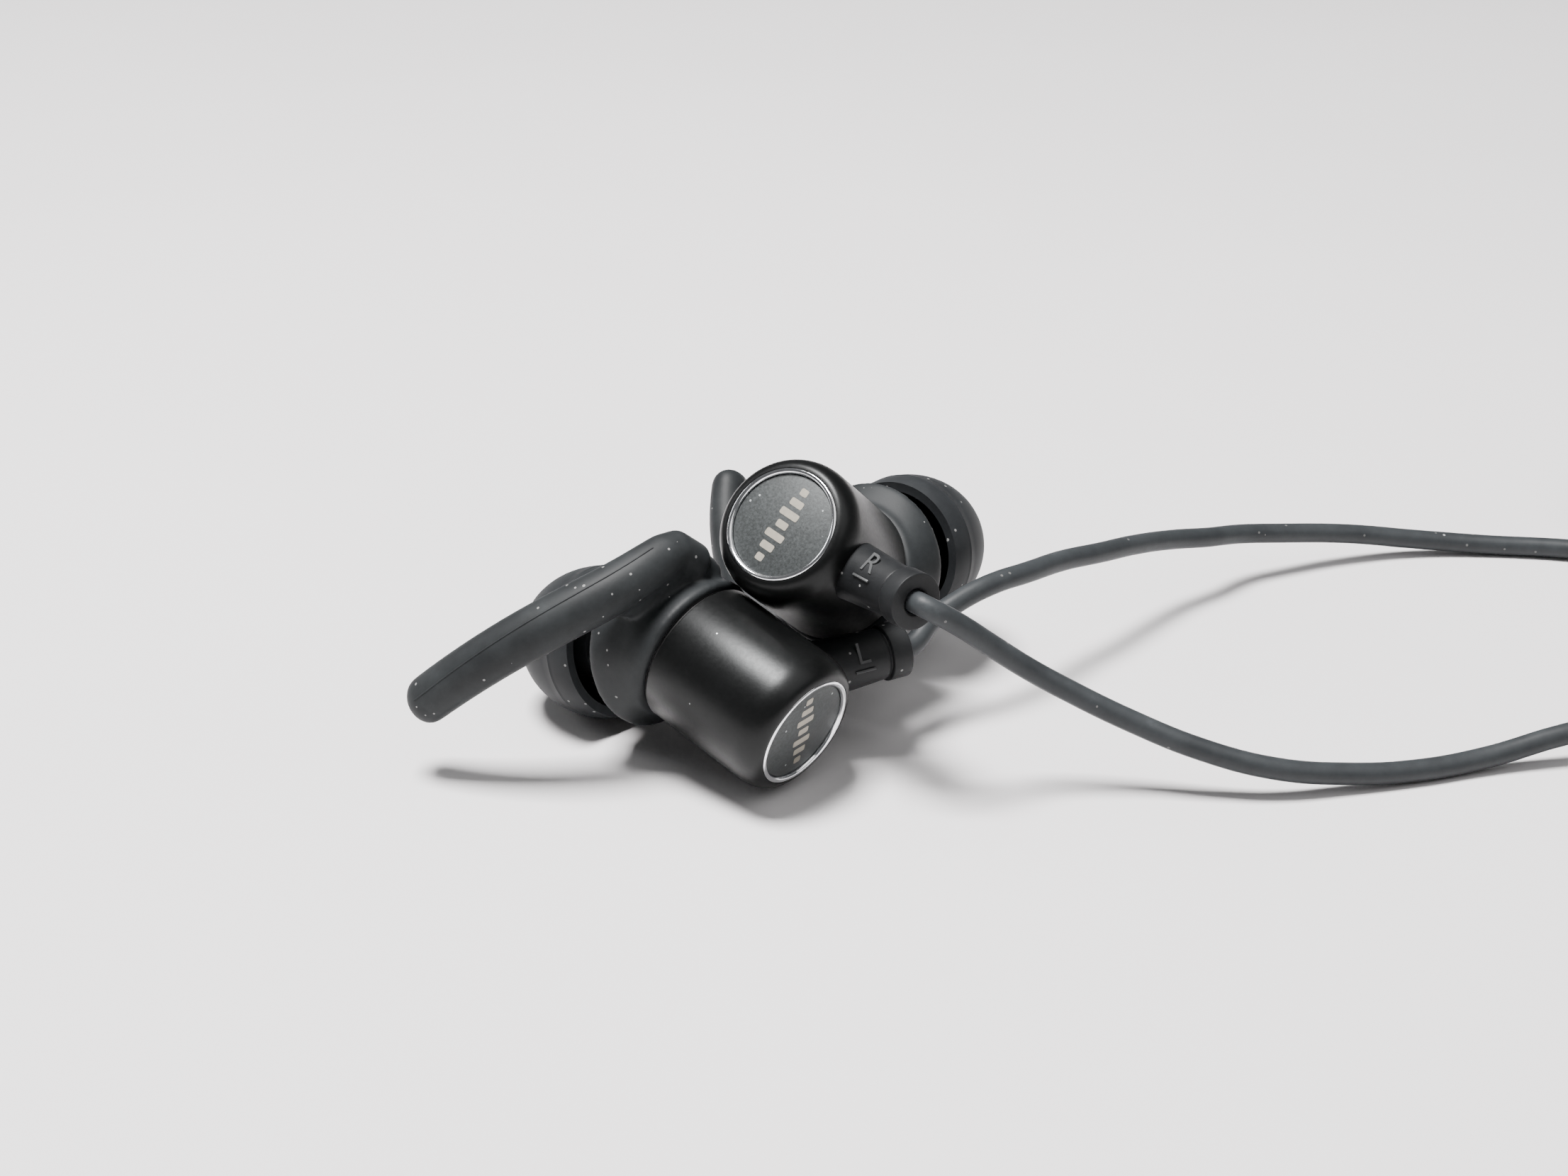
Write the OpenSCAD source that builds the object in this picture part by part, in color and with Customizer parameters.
// Neckband earphones: two in-ear earphones with soft tips and ear wings, joined by a
// thin round cord that carries a control pod.  They lie on a flat surface, the right
// earphone leaning on the left one, with the spare cord wound in a tied coil.
// Sizes are in millimetres and angles in degrees.  Each earphone is built along its own
// axis: Z runs from the back plate to the ear tip and X points along the strain relief.

/* [Earphone barrel] */
// Outer diameter of the metal barrel
barrel_d = 12.9; // [12:0.1:15.6]
// Length of the barrel from its back rim to the front seam
barrel_len = 12.7; // [11:0.1:15.4]
// Wall thickness of the barrel
barrel_wall = 0.8; // [0.6:0.05:1]
// Depth of the soft edge around the back end
edge_depth = 2.4; // [1.6:0.1:3]
// Outer diameter of the polished ring
ring_d = 10.2; // [9.4:0.1:11.2]
// Width of the polished ring
ring_width = 0.5; // [0.4:0.05:0.8]
// Depth of the recess behind the ring and the back plate
recess_depth = 1.2; // [1.1:0.1:1.5]
// Thickness of the back plate
plate_t = 0.95; // [0.6:0.05:1]
// Diameter of the clasp magnet behind the back plate
clasp_magnet_d = 7.4; // [6:0.1:8]
// Thickness of the clasp magnet
clasp_magnet_t = 1.4; // [1:0.1:1.8]

/* [Front shell and nozzle] */
// How far the front shell's neck stands in from the barrel, on each side
neck_step = 0.35; // [0.25:0.05:0.65]
// Length of the slanted neck along the nozzle's axis
neck_len = 6.2; // [5.6:0.1:7]
// Length of the cone between neck and nozzle
shoulder_len = 1.6; // [1.2:0.1:2]
// Diameter of the cone at its front
shoulder_d = 7.6; // [6.5:0.1:9]
// Outer diameter of the nozzle
nozzle_d = 5.0; // [4.4:0.1:5.6]
// Bore of the nozzle
nozzle_bore = 3.4; // [2.6:0.1:3.6]
// Length of the nozzle from its tilt point
nozzle_len = 17.0; // [15:0.1:18]
// Tilt of the nozzle from the barrel's axis
nozzle_tilt = 30; // [20:1:34]
// Direction of the nozzle's tilt, turned from the strain relief
nozzle_turn = 98; // [80:1:120]
// Thickness of the sealing ring in the front seam
seal_t = 0.3; // [0.2:0.05:0.5]

/* [Ear tip] */
// Largest diameter of the ear tip
tip_d = 13.7; // [11.4:0.1:14.6]
// Length of the ear tip
tip_len = 10.1; // [8:0.1:10.5]
// Wall thickness of the ear tip
tip_wall = 0.7; // [0.5:0.05:0.9]

/* [Ear wing] */
// Wall of the ear wing's sleeve around the neck
sleeve_wall = 1.0; // [0.7:0.05:1.6]
// Thickness of the fin where it leaves the sleeve
fin_root_t = 3.7; // [3:0.1:4.4]
// Thickness of the fin at its tip
fin_tip_t = 3.3; // [2.4:0.1:3.8]
// Distance of the fin's tip from the barrel's axis
fin_reach = 19.1; // [16:0.1:20]
// Angle that the fin sweeps around the barrel
fin_sweep = 107; // [80:1:112]

/* [Strain relief] */
// Diameter of the strain relief at the barrel
boot_root_d = 5.1; // [4.4:0.1:5.6]
// Diameter of the strain relief at the cord
boot_end_d = 4.6; // [3.8:0.1:5]
// Length of the strain relief outside the barrel
boot_len = 8.1; // [6.5:0.1:9]
// Lean of the strain relief towards the back plate
boot_lean = 20; // [16:1:24]
// Place where its axis meets the barrel's axis
boot_at = 6.8; // [6.4:0.1:7.6]

/* [Speaker driver] */
// Diameter of the driver's frame
driver_d = 9.6; // [8.4:0.1:9.8]
// Height of the driver's frame
driver_h = 3.4; // [3:0.1:4]
// Diameter of the steel yoke
yoke_d = 6.4; // [5.6:0.1:7]
// Diameter of the driver magnet
driver_magnet_d = 4.2; // [3.6:0.1:4.6]

/* [Cord] */
// Diameter of the cord
cord_d = 1.95; // [1.6:0.05:2.4]

/* [Control pod] */
// Length of the pod's case
pod_len = 60; // [50:1:72]
// Width of the pod's case
pod_w = 11; // [10.5:0.1:13.2]
// Height of the pod's case
pod_h = 8; // [7.6:0.1:9.6]
// Wall thickness of the pod's case
pod_wall = 1.1; // [0.8:0.1:1.3]
// Height of the seam between its two halves
pod_seam = 4.2; // [4:0.1:4.6]
// Distance between neighbouring buttons
button_pitch = 11; // [9:0.5:12]
// Length of the two volume buttons
button_len = 7.4; // [6:0.1:8]
// Width of the buttons
button_w = 4.6; // [3.6:0.1:5.2]
// Travel of a button
button_travel = 0.3; // [0.2:0.05:0.4]

/* [Pose] */
// Gap between the two leaning barrels
barrel_gap = 0.15; // [0.15:0.05:0.6]
// How far the left wing's fin leans forward
left_fin_forward = 9.1; // [7:0.1:10]
// How far the right wing's fin leans forward
right_fin_forward = 3.0; // [0:0.1:4]

/* [Hidden] */
$fn = 64;
slip = 0.05;
loose = 0.15;
touch = 0.01;

// Earphone stations along the barrel's axis
barrel_r = barrel_d / 2;
cavity_r = barrel_r - barrel_wall;
magnet_z = recess_depth + touch;
cavity_z = recess_depth + clasp_magnet_t + 0.8;
neck_z = barrel_len + seal_t;
neck_d = barrel_d - 2 * neck_step;
sleeve_d = neck_d + 2 * sleeve_wall;
spigot_len = 1.8;
spigot_wall = 0.6;
neck_bore = min(2 * cavity_r - 2 * spigot_wall - 2 * slip, neck_d - 2.2);
nozzle_z = neck_z;
cavity_end = neck_z + 2.4;
foot_t = 0.4;
neck_sides = 40;
mesh_seat_d = nozzle_bore + 0.6;
nozzle_way = turned_z(nozzle_turn, turned_y(nozzle_tilt, [0, 0, 1]));

// Driver stations
driver_z = neck_z - driver_h - 0.2;
frame_floor = 0.5;
frame_wall = 0.45;
yoke_z = driver_z + frame_floor + touch;
yoke_h = 1.9;
yoke_floor = 0.5;
yoke_wall = 0.4;
driver_magnet_h = 1.1;
coil_gap = (yoke_d / 2 - yoke_wall - driver_magnet_d / 2) / 2;
coil_r = driver_magnet_d / 2 + coil_gap;
coil_t = coil_gap / 2;
coil_h = 1.5;
dome_z = driver_z + driver_h - 0.45;
dome_t = 0.15;

// Strain relief stations along its own axis
boot_stem_d = 3.2;
boot_flange_d = 4.4;
boot_flange_t = 0.7;
boot_exit = barrel_r / cos(boot_lean) + boot_len;
flange_at = (cavity_r - 0.9) / cos(boot_lean);

// Ear tip stations along the nozzle's axis
tip_back = neck_len + shoulder_len + 1.6;
tip_front = tip_back + tip_len;
tip_widest = tip_back + 1.9;
tip_mouth_r = nozzle_bore / 2 + 0.1;
tip_stem_r = nozzle_d / 2 + slip;
tip_stem_back = tip_back + 1.2;
mesh_t = 0.25;

// Fin's route around the barrel
fin_start = -86;
fin_root_r = sleeve_d / 2 + 1.0;
fin_root_z = neck_z + 4.4;
fin_steps = 12;
fin_sides = 16;
right_wing_turn = 6;

// Poses: heading and tilt aim the axis, roll turns the strain relief about it
left_heading = 138.8;
left_tilt = 74;
left_roll = -98;
right_heading = 58.4;
right_tilt = 130;
right_roll = -76.5;
left_touch = 11.3;
right_touch = 3.9;
layout_middle = [-6.76, 212.68, 0];
left_back = [1.8, 196.2, barrel_r - 0.15];

function turned_z(a, p) = [p.x * cos(a) - p.y * sin(a), p.x * sin(a) + p.y * cos(a), p.z];
function turned_y(a, p) = [p.x * cos(a) + p.z * sin(a), p.y, p.z * cos(a) - p.x * sin(a)];
function aimed(p, heading, tilt, roll) = turned_z(heading, turned_y(tilt, turned_z(roll, p)));
function unit(v) = v / norm(v);

left_axis = aimed([0, 0, 1], left_heading, left_tilt, left_roll);
right_axis = aimed([0, 0, 1], right_heading, right_tilt, right_roll);
lean_normal = unit(cross(right_axis, left_axis));
left_contact = left_back + left_touch * left_axis;
right_contact = left_contact + (barrel_d + barrel_gap) * lean_normal;
right_back = right_contact - right_touch * right_axis;

// Cord ends at the two strain reliefs
boot_end_local = [boot_exit * cos(boot_lean), 0, boot_at - boot_exit * sin(boot_lean)];
boot_way_local = [cos(boot_lean), 0, -sin(boot_lean)];
left_exit = left_back + aimed(boot_end_local, left_heading, left_tilt, left_roll);
left_way = aimed(boot_way_local, left_heading, left_tilt, left_roll);
right_exit = right_back + aimed(boot_end_local, right_heading, right_tilt, right_roll);
right_way = aimed(boot_way_local, right_heading, right_tilt, right_roll);
lead = 1.2;

// Pod's stations in its own frame, X along its length
pod_boot_len = 6;
pod_boot_d = 4.2;
pod_cord_z = pod_seam - 0.6;
board_t = 0.6;
board_z = pod_seam - 0.5;
board_top = board_z + board_t;
board_len = pod_len - 12;
board_w = pod_w - 2 * pod_wall - 0.8;
mic_x = -pod_len / 2 + 6.8;
battery_len = 20;
battery_h = 1.9;
ceiling_z = pod_h - pod_wall;
switch_h = 1.1;
cap_z = board_top + switch_h + button_travel + slip;
cap_flange_t = 0.45;
cap_rise = 0.6;
buttons_x = -4;
port_x = 17;
port_w = 7.4;
port_h = 2.4;
port_depth = 5;
port_z = board_z - port_h - touch;
flap_w = 9.2;
flap_h = port_h + 0.9;
flap_t = 0.7;
flap_z = port_z - 0.35;
pod_heading = -90;
pod_place = [116.2, 235.2, 0];
pod_way = turned_z(pod_heading, [1, 0, 0]);
pod_near_end = pod_place + turned_z(pod_heading, [pod_len / 2 + pod_boot_len, 0, pod_cord_z]);
pod_far_end = pod_place + turned_z(pod_heading, [-pod_len / 2 - pod_boot_len, 0, pod_cord_z]);

// Coil of spare cord: two turns wide and two high, kept together by a tie
coil_middle = [96.6, 254, 0];
coil_mid_r = 10.8;
coil_turns_wide = 2;
coil_turns_high = 2;
coil_lift = 0.3;
bundle_w = coil_turns_wide * cord_d * 1.06;
bundle_h = coil_turns_high * cord_d * 1.06;
tie_w = 2.6;
tie_t = coil_lift - touch;
tie_angle = 135;

// Cord routes, as points laid out on the surface
right_route = [
    [14.2, 196.8, 16.3], [17.3, 197.8, 13.7], [20.5, 198.5, 11.2], [23.5, 198.5, 9.4],
    [29.5, 198, 6.4], [35.5, 197, 4.2], [41.5, 196.5, 2.7], [48, 197.5, 1.6],
    [54.5, 199, 1.1], [61, 201, 1.3], [67.5, 202.5, 2.6], [73.5, 203.5, 3.4],
    [79.5, 203.4, 3.1], [85.5, 202.4, 2.3], [91.5, 200.3, 1.6], [97.5, 197.4, 1.1],
    [103, 194.8, 1.05], [108, 193.2, 1.1], [112.3, 193.4, 1.5], [115.2, 195.4, 2.5]
];
left_route = [
    [13, 210.2, 9.9], [15.5, 212, 11], [18.5, 214, 11.7], [22, 217, 11.5],
    [25.5, 221, 10.8], [29.5, 225, 9.8], [33.5, 229.5, 8.6], [37.5, 233.5, 7.3],
    [41.5, 236.5, 6.2], [45, 239.5, 5.2], [49, 241.5, 4.4], [57, 244.5, 3],
    [64.5, 246, 1.7], [72, 246, 1.1], [78.6, 245.2, 1.1], [84.3, 243.7, 1.2], [89.6, 242.4, 1.3]
];
tail_route = [
    [108.2, 260.5, 3], [107.8, 265, 2.4], [107.5, 269.6, 1.8], [107.9, 273.3, 1.7],
    [109.5, 276, 2], [112, 277.2, 2.6], [114.6, 276.2, 3.2], [116, 273.9, 3.5]
];

// ---- Placing ----

module left_bud() {
    translate(left_back - layout_middle)
        rotate([0, left_tilt, left_heading])
            rotate([0, 0, left_roll])
                children();
}

module right_bud() {
    translate(right_back - layout_middle)
        rotate([0, right_tilt, right_heading])
            rotate([0, 0, right_roll])
                mirror([0, 1, 0])
                    children();
}

module on_pod() {
    translate(pod_place - layout_middle)
        rotate([0, 0, pod_heading])
            children();
}

module along_boot() {
    translate([0, 0, boot_at])
        rotate([0, 90 + boot_lean, 0])
                children();
}

module along_nozzle() {
    translate([0, 0, nozzle_z])
        rotate([0, nozzle_tilt, nozzle_turn])
            children();
}

// ---- Earphone pieces ----

// Back end of the barrel: a quarter-ellipse edge from the ring to the full diameter
function edge_points(outer_r, inner_r, depth, steps) = [
    for (i = [0 : steps])
        let (a = 90 * i / steps)
        [inner_r + (outer_r - inner_r) * sin(a), depth * (1 - cos(a))]
];

module barrel() {
    back = edge_points(barrel_r, ring_d / 2, edge_depth, 8);
    color("dimgray") difference() {
        rotate_extrude()
            polygon(concat([[0, 0]], back, [[barrel_r, barrel_len], [0, barrel_len]]));
        translate([0, 0, -1])
            cylinder(d = ring_d, h = recess_depth + 1);
        translate([0, 0, recess_depth - touch])
            cylinder(d = clasp_magnet_d + 2 * slip, h = clasp_magnet_t + 2 * touch + slip);
        translate([0, 0, cavity_z])
            cylinder(r = cavity_r, h = barrel_len);
        along_boot()
            cylinder(d = boot_stem_d + 2 * slip, h = barrel_d);
    }
}

module ring() {
    outer = ring_d / 2 - touch;
    inner = ring_d / 2 - ring_width;
    color("silver") rotate_extrude()
        polygon([
            [inner, 0.1], [inner + 0.15, -0.1], [outer - 0.2, -0.1], [outer, 0.1],
            [outer, recess_depth - touch], [inner, recess_depth - touch]
        ]);
}

module plate() {
    color("slategray")
        translate([0, 0, recess_depth - plate_t])
            cylinder(r = ring_d / 2 - ring_width - touch, h = plate_t - touch);
}

module clasp_magnet() {
    color("lightsteelblue")
        translate([0, 0, magnet_z])
            cylinder(d = clasp_magnet_d, h = clasp_magnet_t);
}

module seal() {
    color("black") translate([0, 0, barrel_len + touch]) difference() {
        cylinder(d = neck_d - 0.2, h = seal_t - 2 * touch);
        translate([0, 0, -1])
            cylinder(r = cavity_r + 0.1, h = seal_t + 2);
    }
}

// Closed skin over rings of points: each ring joins the next, then caps or a last join
module skin(rings, capped) {
    sides = len(rings[0]);
    count = len(rings);
    walls = [
        for (i = [0 : count - (capped ? 2 : 1)], k = [0 : sides - 1])
            let (
                a = i * sides,
                b = ((i + 1) % count) * sides,
                j = (k + 1) % sides
            )
            each [[a + k, a + j, b + j], [a + k, b + j, b + k]]
    ];
    near_cap = [for (k = [0 : sides - 1]) sides - 1 - k];
    far_cap = [for (k = [0 : sides - 1]) (count - 1) * sides + k];
    polyhedron(
        points = [for (ring = rings) each ring],
        faces = concat(walls, capped ? [near_cap, far_cap] : [])
    );
}

// Ring round the barrel's axis
function flat_ring(r, z) = [
    for (i = [0 : neck_sides - 1])
        let (a = -360 * i / neck_sides)
        [r * cos(a), r * sin(a), z]
];

// Ring round the nozzle's axis, at a distance from the front seam
function tilted_ring(r, z) = [
    for (p = flat_ring(r, z))
        [0, 0, nozzle_z]
            + turned_z(nozzle_turn, turned_y(nozzle_tilt, turned_z(-nozzle_turn, p)))
];

// Ring moved along the nozzle's axis down to one height
function dropped(ring, z) = [for (p = ring) p + (z - p.z) / nozzle_way.z * nozzle_way];

module front_shell() {
    spigot_r = cavity_r - slip;
    cavity_top_r = neck_bore / 2 - 1.2;
    bore = tilted_ring(nozzle_bore / 2, nozzle_len - mesh_t - slip);
    color("black") skin([
        flat_ring(spigot_r, barrel_len - spigot_len),
        flat_ring(spigot_r, neck_z),
        flat_ring(neck_d / 2, neck_z),
        flat_ring(neck_d / 2, neck_z + foot_t),
        tilted_ring(neck_d / 2, neck_len),
        tilted_ring(shoulder_d / 2, neck_len + shoulder_len),
        tilted_ring(nozzle_d / 2, neck_len + shoulder_len),
        tilted_ring(nozzle_d / 2, nozzle_len),
        tilted_ring(mesh_seat_d / 2, nozzle_len),
        tilted_ring(mesh_seat_d / 2, nozzle_len - mesh_t - slip),
        bore,
        dropped(bore, cavity_end),
        flat_ring(cavity_top_r, cavity_end),
        flat_ring(neck_bore / 2, neck_z),
        flat_ring(neck_bore / 2, barrel_len - spigot_len)
    ], false);
}

module mesh() {
    color("gray") along_nozzle()
        translate([0, 0, nozzle_len - mesh_t - touch])
            cylinder(d = mesh_seat_d - 2 * slip, h = mesh_t);
}

module driver_frame() {
    color("darkslategray") translate([0, 0, driver_z]) difference() {
        cylinder(d = driver_d, h = driver_h);
        translate([0, 0, frame_floor])
            cylinder(d = driver_d - 2 * frame_wall, h = driver_h);
        translate([0, 0, -1])
            cylinder(d = yoke_d - 1.2, h = 3);
    }
}

module driver_yoke() {
    color("silver") translate([0, 0, yoke_z]) difference() {
        cylinder(d = yoke_d, h = yoke_h);
        translate([0, 0, yoke_floor])
            cylinder(d = yoke_d - 2 * yoke_wall, h = yoke_h);
    }
}

module driver_magnet() {
    color("lightsteelblue")
        translate([0, 0, yoke_z + yoke_floor + touch])
            cylinder(d = driver_magnet_d, h = driver_magnet_h);
}

module voice_coil() {
    color("peru") translate([0, 0, dome_z - coil_h - touch]) difference() {
        cylinder(r = coil_r + coil_t / 2, h = coil_h);
        translate([0, 0, -1])
            cylinder(r = coil_r - coil_t / 2, h = coil_h + 2);
    }
}

module diaphragm() {
    color("gainsboro") translate([0, 0, dome_z]) {
        cylinder(d = driver_d - 2 * frame_wall - 0.1, h = dome_t);
        cylinder(r1 = coil_r, r2 = coil_r - 0.6, h = dome_t + 0.25);
    }
}

// Soft tip: a stem on the nozzle and a dome that folds back over it
function dome_points(r, back_z, front_z, front_r, steps) = [
    for (i = [0 : steps])
        let (a = acos(front_r / r) * i / steps)
        [r * cos(a), back_z + (front_z - back_z) * sin(a) / sin(acos(front_r / r))]
];

function reversed(points) = [for (i = [len(points) - 1 : -1 : 0]) points[i]];

module ear_tip() {
    r = tip_d / 2;
    inner_front = tip_front - 2 * tip_wall;
    outside = dome_points(r, tip_widest, tip_front, tip_mouth_r, 9);
    inside = dome_points(r - tip_wall, tip_widest, inner_front, tip_stem_r + tip_wall, 7);
    color("darkslategray") along_nozzle() rotate_extrude()
        polygon(concat(
            [[r - 0.4, tip_back]], outside,
            [[tip_mouth_r, nozzle_len + slip], [tip_stem_r, nozzle_len + slip]],
            [[tip_stem_r, tip_stem_back], [tip_stem_r + tip_wall, tip_stem_back]],
            reversed(inside),
            [[r - 0.4 - tip_wall, tip_back]]
        ));
}

// Point on the fin's middle line, from its root (0) to its tip (1)
function fin_point(f, forward) =
    let (
        a = fin_start - fin_sweep * pow(f, 0.85),
        r = fin_root_r + (fin_reach - fin_root_r) * pow(f, 2.4),
        z = fin_root_z + forward * pow(f, 2.4)
    )
    [r * cos(a), r * sin(a), z];

function fin_thickness(f) = fin_root_t + (fin_tip_t - fin_root_t) * f;

function fin_rings(forward) =
    let (
        root = turned_z(fin_start + 18, [fin_root_r - 1.5, 0, fin_root_z - 1]),
        path = concat([root], [for (i = [0 : fin_steps]) fin_point(i / fin_steps, forward)]),
        last = fin_steps + 1,
        ahead = unit(path[last] - path[last - 1]),
        tip_r = fin_tip_t / 2
    )
    concat(
        [for (i = [0 : last]) ring_at(path, i, fin_thickness(i / last) / 2, fin_sides)],
        [for (a = [30, 60, 80])
            [for (p = ring_at(path, last, tip_r * cos(a), fin_sides)) p + tip_r * sin(a) * ahead]]
    );

module ear_wing(forward, turn) {
    foot_d = sleeve_d - 0.7;
    bore_d = neck_d + 2 * slip;
    color("darkslategray") difference() {
        union() {
            skin([
                flat_ring(foot_d / 2, neck_z + touch),
                flat_ring(foot_d / 2, neck_z + foot_t),
                tilted_ring(sleeve_d / 2, neck_len - foot_t),
                tilted_ring(sleeve_d / 2, neck_len)
            ], true);
            rotate([0, 0, turn])
                skin(fin_rings(forward), true);
        }
        skin([
            flat_ring(bore_d / 2, neck_z - 1),
            flat_ring(bore_d / 2, neck_z + foot_t),
            tilted_ring(bore_d / 2, neck_len + slip),
            tilted_ring(bore_d / 2, neck_len + 4)
        ], true);
    }
}

module boot() {
    color("darkslategray") {
        difference() {
            along_boot() difference() {
                cylinder(d1 = boot_root_d + 0.3, d2 = boot_end_d, h = boot_exit);
                translate([0, 0, -1])
                    cylinder(d = cord_d + 2 * slip, h = boot_exit + 2);
            }
            translate([0, 0, -barrel_len])
                cylinder(r = barrel_r + slip, h = 3 * barrel_len);
        }
        difference() {
            along_boot()
                translate([0, 0, flange_at])
                    cylinder(d = boot_stem_d, h = barrel_r + 0.4 - flange_at);
            along_boot()
                cylinder(d = cord_d + 2 * slip, h = boot_exit);
        }
        intersection() {
            along_boot()
                translate([0, 0, flange_at - boot_flange_t])
                    difference() {
                        cylinder(d = boot_flange_d, h = boot_flange_t + 0.1);
                        translate([0, 0, -1])
                            cylinder(d = cord_d + 2 * slip, h = boot_flange_t + 2);
                    }
            translate([0, 0, cavity_z + slip])
                cylinder(r = cavity_r - slip, h = barrel_len);
        }
    }
}

// End of the cord inside the strain relief, with its crimp inside the barrel
module cord_stub() {
    crimp_len = 1.6;
    color("dimgray") along_boot() {
        translate([0, 0, flange_at - boot_flange_t - crimp_len - slip])
            cylinder(d = 3, h = crimp_len);
        translate([0, 0, flange_at - boot_flange_t - crimp_len])
            cylinder(d = cord_d, h = boot_exit - flange_at + boot_flange_t + crimp_len - touch);
    }
}

// ---- Control pod ----

// Long case half with round ends and a chamfer along its outer edge
module pill(length, width, height, chamfer) {
    half = (length - width) / 2;
    rotate([90, 0, 90])
        linear_extrude(height = 2 * half, center = true)
            polygon([
                [-width / 2, 0], [width / 2, 0], [width / 2, height - chamfer],
                [width / 2 - chamfer, height], [chamfer - width / 2, height],
                [-width / 2, height - chamfer]
            ]);
    for (x = [-half, half])
        translate([x, 0, 0]) {
            cylinder(d = width, h = height - chamfer);
            translate([0, 0, height - chamfer])
                cylinder(d1 = width, d2 = width - 2 * chamfer, h = chamfer);
        }
}

module cord_ways() {
    for (x = [-1, 1])
        translate([x * pod_len / 2, 0, pod_cord_z])
            rotate([0, 90, 0])
                cylinder(d = pod_boot_d - 0.6, h = 4 * pod_wall, center = true);
}

module pod_bottom() {
    color("dimgray") difference() {
        translate([0, 0, pod_seam - touch])
            mirror([0, 0, 1])
                pill(pod_len, pod_w, pod_seam - touch, 1);
        translate([0, 0, pod_wall])
            pill(pod_len - 2 * pod_wall, pod_w - 2 * pod_wall, pod_seam, 0.1);
        cord_ways();
        translate([port_x - port_w / 2 - slip, 0, port_z - slip])
            cube([port_w + 2 * slip, pod_w, pod_seam]);
        translate([port_x - flap_w / 2, pod_w / 2 - flap_t - slip, flap_z])
            cube([flap_w, pod_w, pod_seam]);
    }
}

module button_hole(x, length) {
    translate([x - length / 2 - loose, -button_w / 2 - loose, 0])
        cube([length + 2 * loose, button_w + 2 * loose, pod_h + 1]);
}

module pod_top() {
    color("dimgray") difference() {
        translate([0, 0, pod_seam])
            pill(pod_len, pod_w, pod_h - pod_seam, 1);
        translate([0, 0, pod_seam - 1])
            pill(pod_len - 2 * pod_wall, pod_w - 2 * pod_wall, ceiling_z - pod_seam + 1, 0.1);
        cord_ways();
        button_hole(buttons_x - button_pitch, button_len);
        button_hole(buttons_x, button_w);
        button_hole(buttons_x + button_pitch, button_len);
        translate([port_x, 0, pod_seam])
            cylinder(d = 1.2 + 2 * slip, h = pod_h);
        translate([mic_x, 0, pod_seam])
            cylinder(d = 1, h = pod_h);
    }
}

module pod_board() {
    color("darkgreen")
        translate([-board_len / 2, -board_w / 2, board_z])
            cube([board_len, board_w, board_t]);
}

module pod_chips() {
    color("black") {
        translate([port_x - 5.5, -2.4, board_top + touch])
            cube([3.6, 4.8, 0.7]);
        translate([buttons_x - button_pitch / 2 - 1.5, -2, board_top + touch])
            cube([3, 4, 0.6]);
    }
}

module pod_battery() {
    color("silver")
        translate([-battery_len - 1, -board_w / 2 + 0.4, pod_wall + 0.1])
            cube([battery_len, board_w - 0.8, min(battery_h, board_z - pod_wall - 0.2)]);
}

module pod_switches() {
    color("silver")
        for (i = [-1 : 1])
            translate([buttons_x + i * button_pitch, 0, board_top + touch]) {
                translate([-1.6, -1.6, 0])
                    cube([3.2, 3.2, switch_h - 0.4]);
                cylinder(d = 1.6, h = switch_h - touch);
            }
}

module button(x, length) {
    stem_h = pod_h + cap_rise - cap_z;
    color("darkslategray") translate([x, 0, cap_z]) {
        translate([-length / 2, -button_w / 2, 0])
            cube([length, button_w, stem_h]);
        translate([-length / 2 - 0.5, -button_w / 2 - 0.5, 0])
            cube([length + 1, button_w + 1, min(cap_flange_t, ceiling_z - cap_z - slip)]);
    }
}

module port_shell() {
    wall = 0.25;
    color("silver")
        translate([port_x - port_w / 2, pod_w / 2 - flap_t - port_depth - 0.1, port_z])
            difference() {
                cube([port_w, port_depth, port_h]);
                translate([wall, wall, wall])
                    cube([port_w - 2 * wall, port_depth, port_h - 2 * wall]);
            }
}

module port_tongue() {
    color("black")
        translate([port_x - 1.9, pod_w / 2 - flap_t - port_depth + 0.25, port_z + port_h / 2])
            cube([3.8, port_depth - 1.2, 0.5]);
}

module port_flap() {
    color("darkslategray")
        translate([port_x - flap_w / 2 + 0.1, pod_w / 2 - flap_t, flap_z + 0.1])
            cube([flap_w - 0.2, flap_t, flap_h - 0.2]);
}

module light_pipe() {
    color("white")
        translate([port_x, 0, board_top + 0.2])
            cylinder(d = 1.2, h = pod_h - board_top - 0.2);
}

module microphone() {
    color("gold")
        translate([mic_x, 0, board_top + touch])
            cylinder(d = 2.8, h = 1);
}

module pod_boot(side) {
    color("darkslategray")
        translate([side * (pod_len / 2 - 2 * pod_wall), 0, pod_cord_z])
            rotate([0, side * 90, 0])
                difference() {
                    union() {
                        cylinder(d = pod_boot_d - 0.7, h = 2 * pod_wall + 0.1);
                        translate([0, 0, 2 * pod_wall + 0.02])
                            cylinder(d1 = pod_boot_d, d2 = 3.2, h = pod_boot_len - 0.02);
                    }
                    translate([0, 0, -1])
                        cylinder(d = cord_d - 0.2, h = 2 * pod_wall + pod_boot_len + 1);
                }
}

// ---- Cords ----

// Octagonal tube swept along a route of points
function ring_at(points, i, radius, sides) =
    let (
        last = len(points) - 1,
        ahead = unit(points[min(i + 1, last)] - points[max(i - 1, 0)]),
        side = unit(cross(ahead, [0, 0, 1])),
        up = cross(side, ahead)
    )
    [for (k = [0 : sides - 1])
        let (a = 360 * (k + 0.5) / sides)
        points[i] + radius * (cos(a) * side + sin(a) * up)];

module tube(points, diameter) {
    translate(-layout_middle)
        skin([for (i = [0 : len(points) - 1]) ring_at(points, i, diameter / 2, 8)], true);
}

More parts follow.
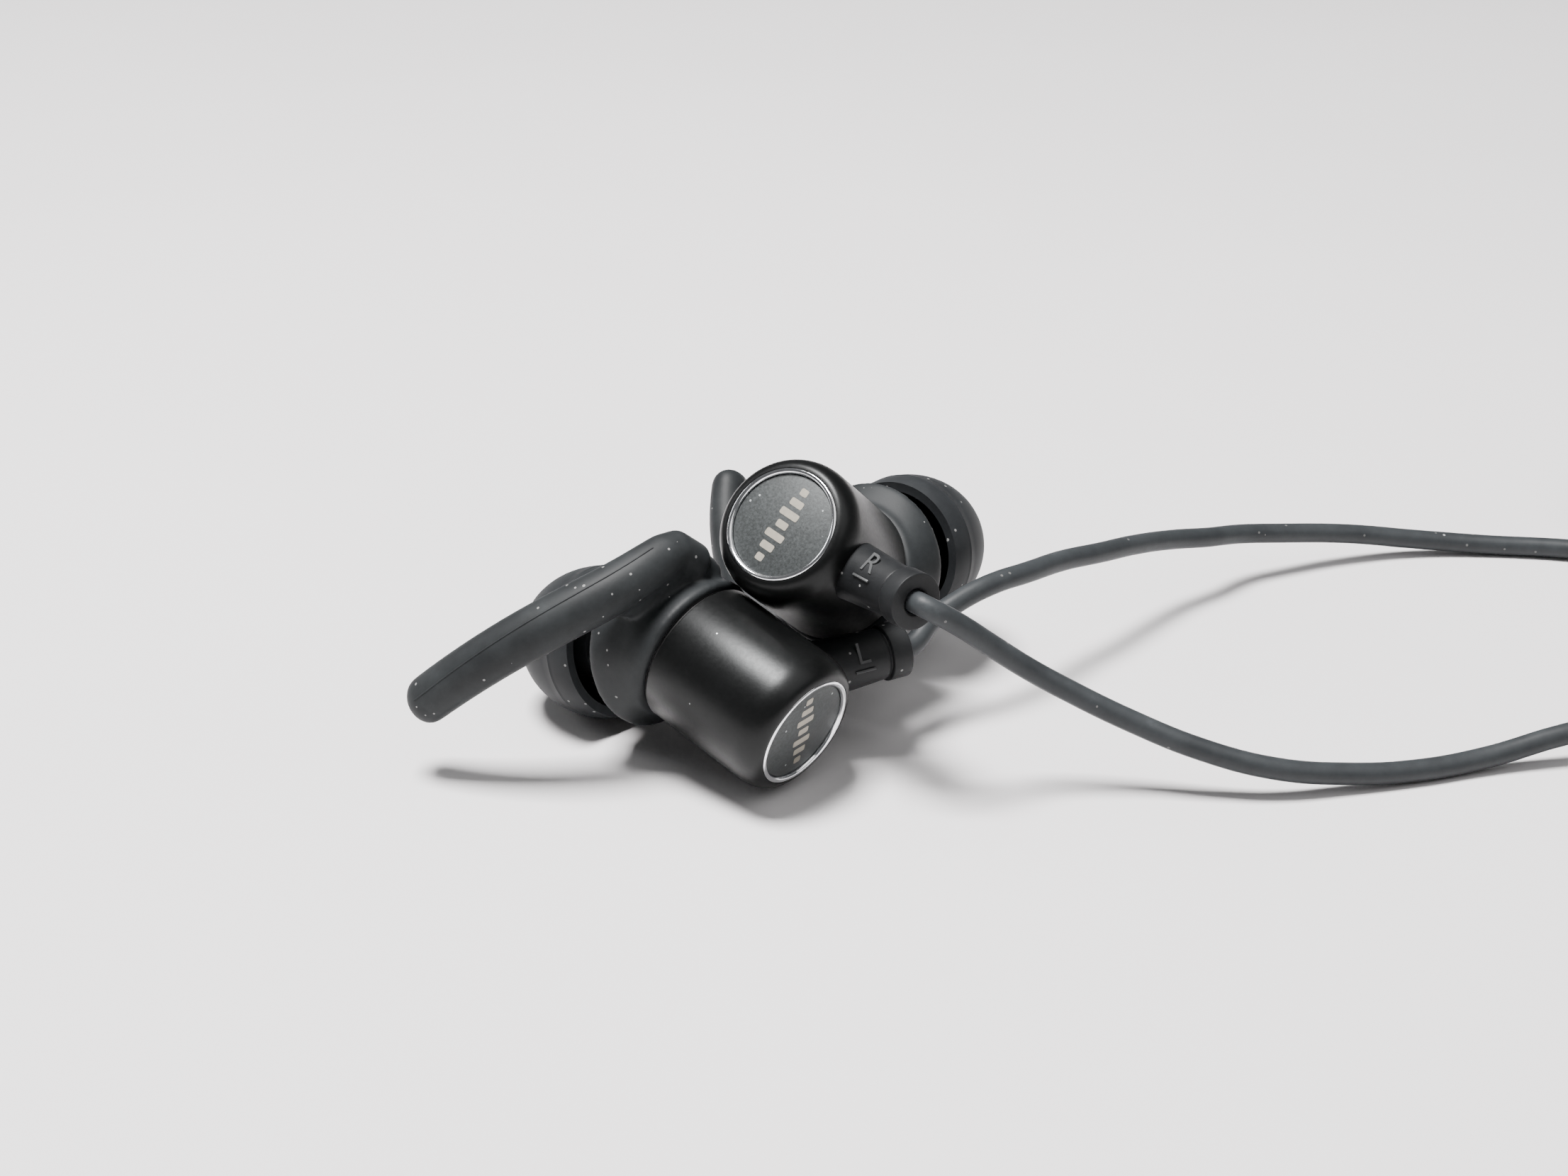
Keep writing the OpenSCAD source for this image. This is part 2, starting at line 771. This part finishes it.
module cord_right() {
    color("dimgray") tube(
        concat(
            [right_exit, right_exit + lead * right_way], right_route,
            [pod_near_end + lead * pod_way, pod_near_end]
        ),
        cord_d
    );
}

module cord_left() {
    color("dimgray") tube(
        concat([left_exit, left_exit + lead * left_way], left_route), cord_d
    );
}

module cord_tail() {
    color("dimgray") tube(
        concat(tail_route, [pod_far_end - lead * pod_way, pod_far_end]), cord_d
    );
}

module cord_coil() {
    color("dimgray")
        translate(coil_middle - layout_middle + [0, 0, coil_lift])
            rotate_extrude()
                translate([coil_mid_r - bundle_w / 2, 0])
                    square([bundle_w, bundle_h]);
}

module coil_tie() {
    inner_w = bundle_w + 0.3;
    color("black")
        translate(coil_middle - layout_middle)
            rotate([0, 0, tie_angle])
                translate([coil_mid_r, 0, coil_lift + bundle_h / 2])
                    difference() {
                        cube([inner_w + 2 * tie_t, tie_w, bundle_h + 2 * tie_t], center = true);
                        cube([inner_w, 2 * tie_w, bundle_h + 0.01], center = true);
                    }
}

left_bud() barrel();  // barrel_left
left_bud() ring();  // ring_left
left_bud() plate();  // plate_left
left_bud() clasp_magnet();  // clasp_magnet_left
left_bud() seal();  // seal_left
left_bud() front_shell();  // front_shell_left
left_bud() mesh();  // mesh_left
left_bud() driver_frame();  // driver_frame_left
left_bud() driver_yoke();  // driver_yoke_left
left_bud() driver_magnet();  // driver_magnet_left
left_bud() voice_coil();  // voice_coil_left
left_bud() diaphragm();  // diaphragm_left
left_bud() ear_tip();  // ear_tip_left
left_bud() ear_wing(left_fin_forward, 0);  // ear_wing_left
left_bud() boot();  // boot_left
left_bud() cord_stub();  // cord_stub_left
right_bud() barrel();  // barrel_right
right_bud() ring();  // ring_right
right_bud() plate();  // plate_right
right_bud() clasp_magnet();  // clasp_magnet_right
right_bud() seal();  // seal_right
right_bud() front_shell();  // front_shell_right
right_bud() mesh();  // mesh_right
right_bud() driver_frame();  // driver_frame_right
right_bud() driver_yoke();  // driver_yoke_right
right_bud() driver_magnet();  // driver_magnet_right
right_bud() voice_coil();  // voice_coil_right
right_bud() diaphragm();  // diaphragm_right
right_bud() ear_tip();  // ear_tip_right
right_bud() ear_wing(right_fin_forward, right_wing_turn);  // ear_wing_right
right_bud() boot();  // boot_right
right_bud() cord_stub();  // cord_stub_right
on_pod() pod_bottom();
on_pod() pod_top();
on_pod() pod_board();
on_pod() pod_chips();
on_pod() pod_battery();
on_pod() pod_switches();
on_pod() button(buttons_x - button_pitch, button_len);  // button_up
on_pod() button(buttons_x, button_w);  // button_play
on_pod() button(buttons_x + button_pitch, button_len);  // button_down
on_pod() port_shell();
on_pod() port_tongue();
on_pod() port_flap();
on_pod() light_pipe();
on_pod() microphone();
on_pod() pod_boot(1);  // pod_boot_near
on_pod() pod_boot(-1);  // pod_boot_far
cord_right();
cord_left();
cord_coil();
cord_tail();
coil_tie();
